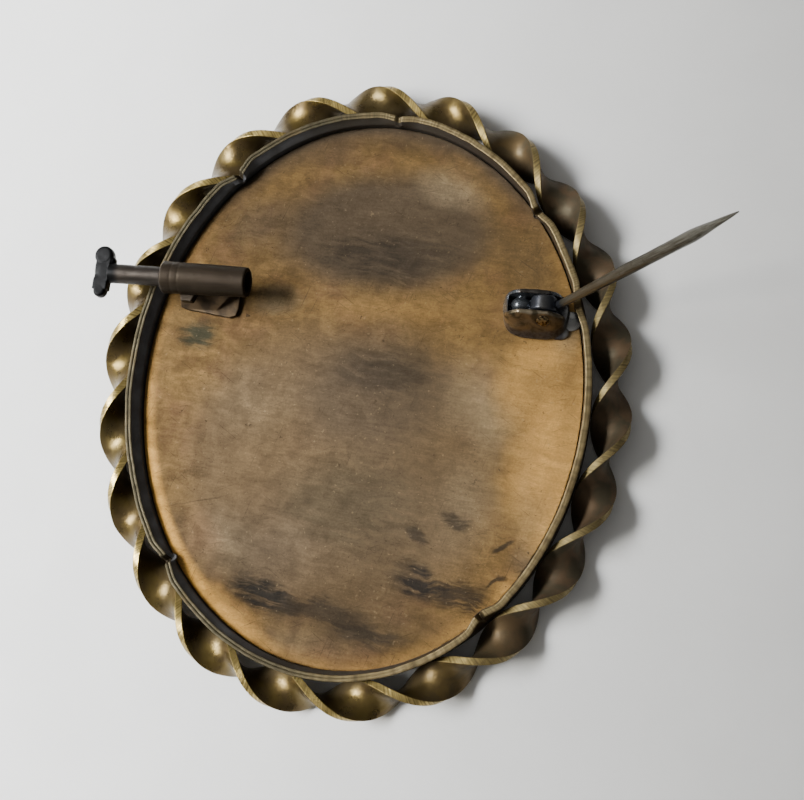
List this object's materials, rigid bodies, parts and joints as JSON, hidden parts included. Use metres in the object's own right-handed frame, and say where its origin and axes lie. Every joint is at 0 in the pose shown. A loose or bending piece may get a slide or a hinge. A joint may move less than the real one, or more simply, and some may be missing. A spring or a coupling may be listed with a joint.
{
  "type": "glass-covered flower brooch",
  "caption": "Oval brooch with a twisted brass border, a flower under domed glass, a plain back plate, a hinged pin and a sliding tube clasp, lying face down.",
  "frame": {"origin": "centre of the oval, on the plane that the lowest points of the twisted border rest on", "axes": "+Z from the glass front towards the back plate and pin, +Y along the oval's long axis towards its top, +X across the oval towards the pin's hinge"},
  "size_m": [0.0493, 0.0519, 0.024],
  "materials": {
    "border_brass": "satin, darkened in its hollows and rubbed bright on its edges",
    "bezel_brass": "satin, with a bright cut rim and dark inner wall",
    "plate_gilt": "worn gilding, orange at the edge and tarnished brown-grey in the middle",
    "clasp_metal": "dull grey-brown tarnish",
    "slider_metal": "nearly black tarnish",
    "hinge_gilt": "worn gilding with grey solder at its foot",
    "rivet_brass": "filed bright",
    "pin_metal": "drawn wire with grey-brown tarnish",
    "glass": "clear, slightly domed",
    "card": "matt black",
    "petal": "soft matt pink",
    "stamen": "matt yellow",
    "leaf": "matt green"
  },
  "bodies": {
    "brooch": {"twisted_border": "border_brass", "bezel": "bezel_brass", "back_plate": "plate_gilt", "clasp_tube": "clasp_metal", "hinge": "hinge_gilt", "hinge_rivet": "rivet_brass", "glass": "glass", "backing_card": "card", "flower_petals": "petal", "flower_centre": "stamen", "flower_leaves": "leaf"},
    "pin": {"pin": "pin_metal"},
    "slider": {"clasp_slider": "slider_metal"}
  },
  "joints": [
    {"name": "pin_hinge", "type": "hinge", "parent": "brooch", "child": "pin", "pos_m": [0.01459, 0.00672, 0.0042], "axis": [-0.0314, -0.9981, 0.0523], "range_deg": [0, 121]},
    {"name": "clasp_slide", "type": "slide", "parent": "brooch", "child": "slider", "axis": [0.9995, -0.0314, 0], "range_m": [0, 0.0036]}
  ]
}
